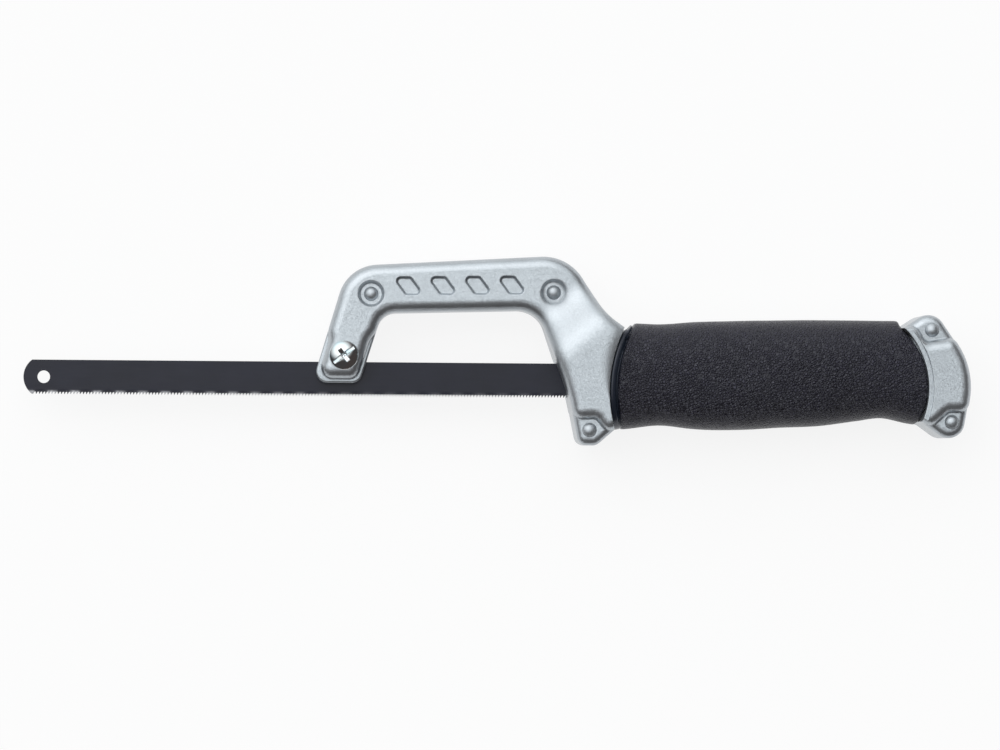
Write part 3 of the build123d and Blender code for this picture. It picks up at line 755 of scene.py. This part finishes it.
class PlatingSettings(bpy.types.PropertyGroup):
    """Bright plating on the clamp screw and its nut"""

    cool_colour: colour_property("Cool colour", "Bluish part of the plating", (0.60, 0.72, 0.77))
    warm_colour: colour_property("Warm colour", "Warm part of the plating", (0.70, 0.70, 0.69))
    roughness: plain_property("Roughness", "How dull the plating is", 0.09, min=0.0, max=1.0)
    dome_height: size_property("Dome height", "Height of the screw head's dome over its rim", 2.15)
    rim_height: size_property("Rim height", "Height of the straight rim under the dome", 0.35)
    rim_round: size_property("Rim round", "How far the rim draws in at the seat", 0.1)
    slot_width: size_property("Slot width", "Width of the slot", 1.25)
    slot_depth: size_property("Slot depth", "Depth of the slot below the top of the dome", 1.5)
    slot_turn: bpy.props.FloatProperty(
        name="Slot turn", description="Turn of the slot against the blade", default=radians(38.0),
        unit="ROTATION"
    )
    cross_width: size_property("Cross width", "Width of the cross recess's arms", 1.5)
    cross_reach: size_property("Cross reach", "Reach of the cross recess's arms", 2.5)
    cross_depth: size_property("Cross depth", "Depth of the cross recess in its middle", 2.0)
    cross_rise_share: plain_property("Cross rise", "Share of that depth lost at the arms' ends", 0.55)
    recess_wall: size_property("Recess wall", "Width of the sloping walls of slot and cross", 0.22)
    shank_radius: size_property("Shank radius", "Radius of the thread's crests", 2.0)
    neck_length: size_property("Neck length", "Plain length under the head", 1.2)
    thread_pitch: size_property("Thread pitch", "Rise of one turn of the thread", 0.7)
    thread_depth: size_property("Thread depth", "Depth of the thread", 0.36)


class BladeSettings(bpy.types.PropertyGroup):
    """Saw blade and its enamel"""

    colour: colour_property("Enamel colour", "Colour of the baked enamel", (0.009, 0.010, 0.021))
    steel_colour: colour_property("Steel colour", "Colour of the rubbed enamel", (0.46, 0.46, 0.48))
    tooth_pitch: size_property("Tooth pitch", "Distance from tooth to tooth", 1.04)
    tooth_depth: size_property("Tooth depth", "Depth of the gullets", 0.75)
    tooth_margin: size_property("Tooth margin", "Plain stretch before the first tooth", 0.15)
    tooth_set: size_property("Tooth set", "How far the teeth lean to each side", 0.2)
    set_pitch: size_property("Set pitch", "Length of one wave of the teeth", 7.5)
    band_height: size_property("Toothed band", "Height of the band that leans with the teeth", 1.6)
    rub_height: size_property("Rubbed band", "Height to which the enamel is rubbed thin", 0.8)
    worn_length: size_property("Worn length", "Length from the tip over which the rubbing fades", 115.0)
    spared_share: plain_property("Spared share", "Share of the rubbing beyond that length", 0.12)
    end_flatness: size_property("End flatness", "How much the end's radius exceeds half the height", 1.4)
    hole_margin: size_property("Hole margin", "Distance from an end to its hole", 6.7)
    hole_radius: size_property("Hole radius", "Radius of the holes", 2.1)


class SleeveSettings(bpy.types.PropertyGroup):
    """Grip sleeve and its leather-like grain"""

    colour: colour_property("Colour", "Colour of the sleeve", (0.0090, 0.0080, 0.0160))
    hem_colour: colour_property("Hem colour", "Colour of the smooth hem in front", (0.016, 0.022, 0.034))
    sheen_colour: colour_property("Sheen colour", "Tint of the grain's sheen", (0.88, 0.89, 1.0))
    roughness: plain_property("Roughness", "How dull the sleeve is", 0.37, min=0.0, max=1.0)
    pebble_size: size_property("Pebble size", "Width of one pebble of the grain", 0.88)
    pebble_depth: size_property("Pebble depth", "Depth of the modelled grain", 0.05)
    relief: size_property("Fine relief", "Depth of the grain's creases in the finish", 0.22)
    lump_size: size_property("Lump size", "Width of the sleeve's soft unevenness", 14.0)
    lump_height: size_property("Lump height", "Height of the soft unevenness", 0.22)
    top_height: size_property("Top height", "Height of the sleeve's top above the blade", 21.1)
    bottom_depth: size_property("Bottom depth", "Depth of the sleeve's bottom below the blade", 16.5)
    half_thickness: size_property("Half thickness", "Half the sleeve's greatest thickness", 13.7)
    roundness: plain_property("Roundness", "2 for an oval section, more for a squarer one", 2.6, min=2.0)
    front_radius: size_property("Front radius", "Radius of the sleeve's front edge", 45.7)
    front_middle: size_property("Front middle", "Height of the front edge's foremost point", -3.2)
    rear_radius: size_property("Rear radius", "Radius of the sleeve's rear edge", 28.7)
    rear_middle: size_property("Rear middle", "Height of the rear edge's rearmost point", -2.0)
    rear_round: size_property("Rear rounding", "Rounding of the sleeve's rear edge", 0.8)
    corner_height: size_property("Rear corner height", "Height where the rear edge turns upright", 18.6)
    grain_margin: size_property("Grain margin", "Distance from the front edge to the grain", 2.4)
    grain_fade: size_property("Grain fade", "Length over which the grain grows to its full depth", 3.0)
    flat_hem_share: plain_property("Flat hem", "Share by which the hem is flatter underneath", 0.8)
    notch_depth: size_property("Notch depth", "Depth of the notch behind the guard's neck", 2.4)
    bore_middle: size_property("Bore middle", "Height of the bore's middle line", 3.7)
    bore_height: size_property("Bore height", "Height of the bore round the spine", 25.3)
    bore_width: size_property("Bore width", "Width of the bore round the spine", 21.7)
    bore_roundness: plain_property("Bore roundness", "Squareness of the bore's section", 6.0, min=2.0)
    mesh_step: size_property("Mesh step", "Width of the sleeve's mesh faces", 0.45)


class StageSettings(bpy.types.PropertyGroup):
    """Floor, light and camera"""

    floor_size: size_property("Floor size", "Width of the floor", 12000.0)
    floor_drop: size_property("Floor drop", "How far the floor lies below the saw", 0.02)
    floor_glow: plain_property(
        "Floor glow", "Share of the floor that shows as plain white", 0.86, min=0.0, max=1.0
    )
    sky_light: plain_property("Sky light", "Strength of the light from the bright side", 1.75, min=0.0)
    sky_shade: plain_property("Sky shade", "Strength of the light from the dark side", 0.07, min=0.0)
    light_colour: colour_property("Light colour", "Colour of the brightest light", (1.0, 1.0, 1.0))
    fill_colour: colour_property("Fill colour", "Colour of the light from overhead", (0.93, 0.985, 1.0))
    shade_colour: colour_property("Shade colour", "Colour of the dim side's light", (1.0, 0.86, 0.84))
    light_side: bpy.props.FloatVectorProperty(
        name="Light side", description="Direction from which most light comes", default=(-0.30, 0.56, 0.77),
        subtype="DIRECTION"
    )
    lamp_power: bpy.props.FloatProperty(
        name="Lamp power", description="Power of the overhead lamp", default=3.0, unit="POWER", min=0.0
    )
    lamp_size: size_property("Lamp size", "Width of the overhead lamp", 1500.0)
    lamp_place: bpy.props.FloatVectorProperty(
        name="Lamp place", description="Where the overhead lamp hangs", default=(-0.45, 0.75, 1.45),
        subtype="TRANSLATION", unit="LENGTH"
    )
    lens: bpy.props.FloatProperty(
        name="Lens", description="Focal length of the camera", default=122.48, unit="CAMERA", min=1.0
    )
    view_distance: size_property("View distance", "Distance from the camera to the saw", 1138.88)
    view_aim: bpy.props.FloatVectorProperty(
        name="View aim", description="Point at the picture's centre", default=(0.00092, -0.00808, 0.0143),
        subtype="TRANSLATION", unit="LENGTH", precision=5
    )
    view_tilt: bpy.props.FloatVectorProperty(
        name="View tilt", description="Turns of the camera from straight down",
        default=(radians(1.1987), radians(-2.6), radians(0.3871)), subtype="EULER", unit="ROTATION"
    )


class HACKSAW_OT_castings(bpy.types.Operator):
    """Paint the two halves of the cast frame"""

    bl_idname = "hacksaw.castings"
    bl_label = "Castings"

    def execute(self, context):
        material = silver_paint("silver_casting", context.scene.hacksaw_paint)
        for name in ("near_half", "far_half"):
            paint_all(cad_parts[name], material)
        return {"FINISHED"}


class HACKSAW_OT_rivets(bpy.types.Operator):
    """Paint the rivets that hold the halves together"""

    bl_idname = "hacksaw.rivets"
    bl_label = "Rivets"

    def execute(self, context):
        settings = context.scene.hacksaw_paint
        material = silver_paint("silver_rivet", settings, added_roughness=settings.rivet_dullness)
        for name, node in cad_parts.items():
            if name.startswith("rivet_"):
                paint_all(node, material)
        return {"FINISHED"}


class HACKSAW_OT_clamp(bpy.types.Operator):
    """Plate the clamp screw and its nut"""

    bl_idname = "hacksaw.clamp"
    bl_label = "Clamp screw and nut"

    def execute(self, context):
        plating = context.scene.hacksaw_plating
        screw = mesh_piece("slotted_screw", screw_form(plating))
        paint_all(screw, bright_plating("bright_screw", plating))
        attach(screw, "clamp_screw")
        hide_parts("clamp_screw")
        paint_all(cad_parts["clamp_nut"], bright_plating("bright_nut", plating))
        return {"FINISHED"}


class HACKSAW_OT_blade(bpy.types.Operator):
    """Model the toothed blade and coat it with dark enamel"""

    bl_idname = "hacksaw.blade"
    bl_label = "Blade"

    def execute(self, context):
        settings = context.scene.hacksaw_blade
        piece = mesh_piece("saw_blade", blade_form(settings), smooth=False)
        paint_all(piece, dark_enamel("dark_enamel", settings))
        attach(piece, "blade")
        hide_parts("blade")
        return {"FINISHED"}


class HACKSAW_OT_sleeve(bpy.types.Operator):
    """Model the grained grip sleeve round the hidden spine"""

    bl_idname = "hacksaw.sleeve"
    bl_label = "Grip sleeve"

    def execute(self, context):
        settings = context.scene.hacksaw_sleeve
        piece = mesh_piece("leather_sleeve", sleeve_form(settings))
        paint_all(piece, grained_leather("grained_leather", settings))
        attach(piece, "frame")
        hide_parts("grip_sleeve")
        return {"FINISHED"}


def lay_floor(stage):
    """A wide white floor just under the saw."""
    form = bmesh.new()
    half = stage.floor_size / 2
    corners = ((-half, -half), (half, -half), (half, half), (-half, half))
    form.faces.new([form.verts.new((x, y, -stage.floor_drop)) for x, y in corners])
    floor = mesh_piece("floor", form, smooth=False)
    paint_all(floor, white_floor("white_floor", stage))


def light_world(stage):
    """A soft sky that is bright above and towards the bow, and shaded on the other side."""
    world = bpy.data.worlds.new("soft_sky")
    bpy.context.scene.world = world
    world.use_nodes = True
    tree = world.node_tree
    background = tree.nodes["Background"]
    coordinate = tree.nodes.new("ShaderNodeTexCoord")
    facing = tree.nodes.new("ShaderNodeVectorMath")
    facing.operation = "DOT_PRODUCT"
    facing.inputs[1].default_value = Vector(stage.light_side).normalized()
    tree.links.new(coordinate.outputs["Generated"], facing.inputs[0])
    strength = tree.nodes.new("ShaderNodeMapRange")
    strength.interpolation_type = "SMOOTHSTEP"
    spans = {
        "From Min": sky_dawn_place,
        "From Max": 1.0,
        "To Min": stage.sky_shade,
        "To Max": stage.sky_light,
    }
    for name, value in spans.items():
        strength.inputs[name].default_value = value
    tree.links.new(facing.outputs["Value"], strength.inputs["Value"])
    tree.links.new(strength.outputs["Result"], background.inputs["Strength"])
    hue = tree.nodes.new("ShaderNodeValToRGB")
    steps = hue.color_ramp.elements
    steps.new(sky_colour_places[1])
    colours = (stage.shade_colour, stage.fill_colour, stage.light_colour)
    for step, place, colour in zip(steps, sky_colour_places, colours):
        step.position = place
        step.color = colour
    tree.links.new(facing.outputs["Value"], hue.inputs["Fac"])
    tree.links.new(hue.outputs["Color"], background.inputs["Color"])


def hang_lamp(stage):
    """A wide soft lamp over the saw, turned towards it."""
    lamp = bpy.data.lights.new("overhead_lamp", "AREA")
    lamp.shape = "DISK"
    lamp.size = stage.lamp_size
    lamp.energy = stage.lamp_power
    hung = bpy.data.objects.new("overhead_lamp", lamp)
    hung.location = stage.lamp_place
    hung.rotation_euler = (-hung.location).to_track_quat("-Z", "Y").to_euler()
    bpy.context.scene.collection.objects.link(hung)


def place_camera(stage):
    """A long lens high over the saw, nearly straight down."""
    camera = bpy.data.cameras.new("camera")
    camera.lens = stage.lens
    camera.sensor_width = 36.0
    camera.clip_start, camera.clip_end = 0.01, 50.0
    placed = bpy.data.objects.new("camera", camera)
    turn = Euler(stage.view_tilt)
    back = turn.to_matrix().col[2]
    placed.rotation_euler = turn
    placed.location = Vector(stage.view_aim) + stage.view_distance * back
    bpy.context.scene.collection.objects.link(placed)
    bpy.context.scene.camera = placed


class HACKSAW_OT_stage(bpy.types.Operator):
    """Lay the white floor, light the saw softly and place the camera"""

    bl_idname = "hacksaw.stage"
    bl_label = "Stage"

    def execute(self, context):
        stage = context.scene.hacksaw_stage
        context.scene.view_settings.view_transform = "Standard"
        lay_floor(stage)
        light_world(stage)
        hang_lamp(stage)
        place_camera(stage)
        return {"FINISHED"}


class HACKSAW_PT_pieces(bpy.types.Panel):
    """The saw's pieces and their settings"""

    bl_label = "Hacksaw"
    bl_space_type = "VIEW_3D"
    bl_region_type = "UI"
    bl_category = "Hacksaw"

    def draw(self, context):
        for kind, group, operators in PANEL_ROWS:
            box = self.layout.box()
            settings = getattr(context.scene, group)
            for name in kind.__annotations__:
                box.prop(settings, name)
            for operator in operators:
                box.operator(operator)


PANEL_ROWS = (
    (PaintSettings, "hacksaw_paint", ("hacksaw.castings", "hacksaw.rivets")),
    (PlatingSettings, "hacksaw_plating", ("hacksaw.clamp",)),
    (BladeSettings, "hacksaw_blade", ("hacksaw.blade",)),
    (SleeveSettings, "hacksaw_sleeve", ("hacksaw.sleeve",)),
    (StageSettings, "hacksaw_stage", ("hacksaw.stage",)),
)

CLASSES = (
    *[row[0] for row in PANEL_ROWS],
    HACKSAW_OT_castings,
    HACKSAW_OT_rivets,
    HACKSAW_OT_clamp,
    HACKSAW_OT_blade,
    HACKSAW_OT_sleeve,
    HACKSAW_OT_stage,
    HACKSAW_PT_pieces,
)


def register():
    for kind in CLASSES:
        bpy.utils.register_class(kind)
    for kind, group, _ in PANEL_ROWS:
        setattr(bpy.types.Scene, group, bpy.props.PointerProperty(type=kind))


def unregister():
    for _, group, _ in PANEL_ROWS:
        delattr(bpy.types.Scene, group)
    for kind in reversed(CLASSES):
        bpy.utils.unregister_class(kind)


def main():
    """Build every piece in order."""
    register()
    bpy.ops.hacksaw.castings()
    bpy.ops.hacksaw.rivets()
    bpy.ops.hacksaw.clamp()
    bpy.ops.hacksaw.blade()
    bpy.ops.hacksaw.sleeve()
    bpy.ops.hacksaw.stage()
    bpy.context.view_layer.update()


if __name__ == "__main__":
    main()
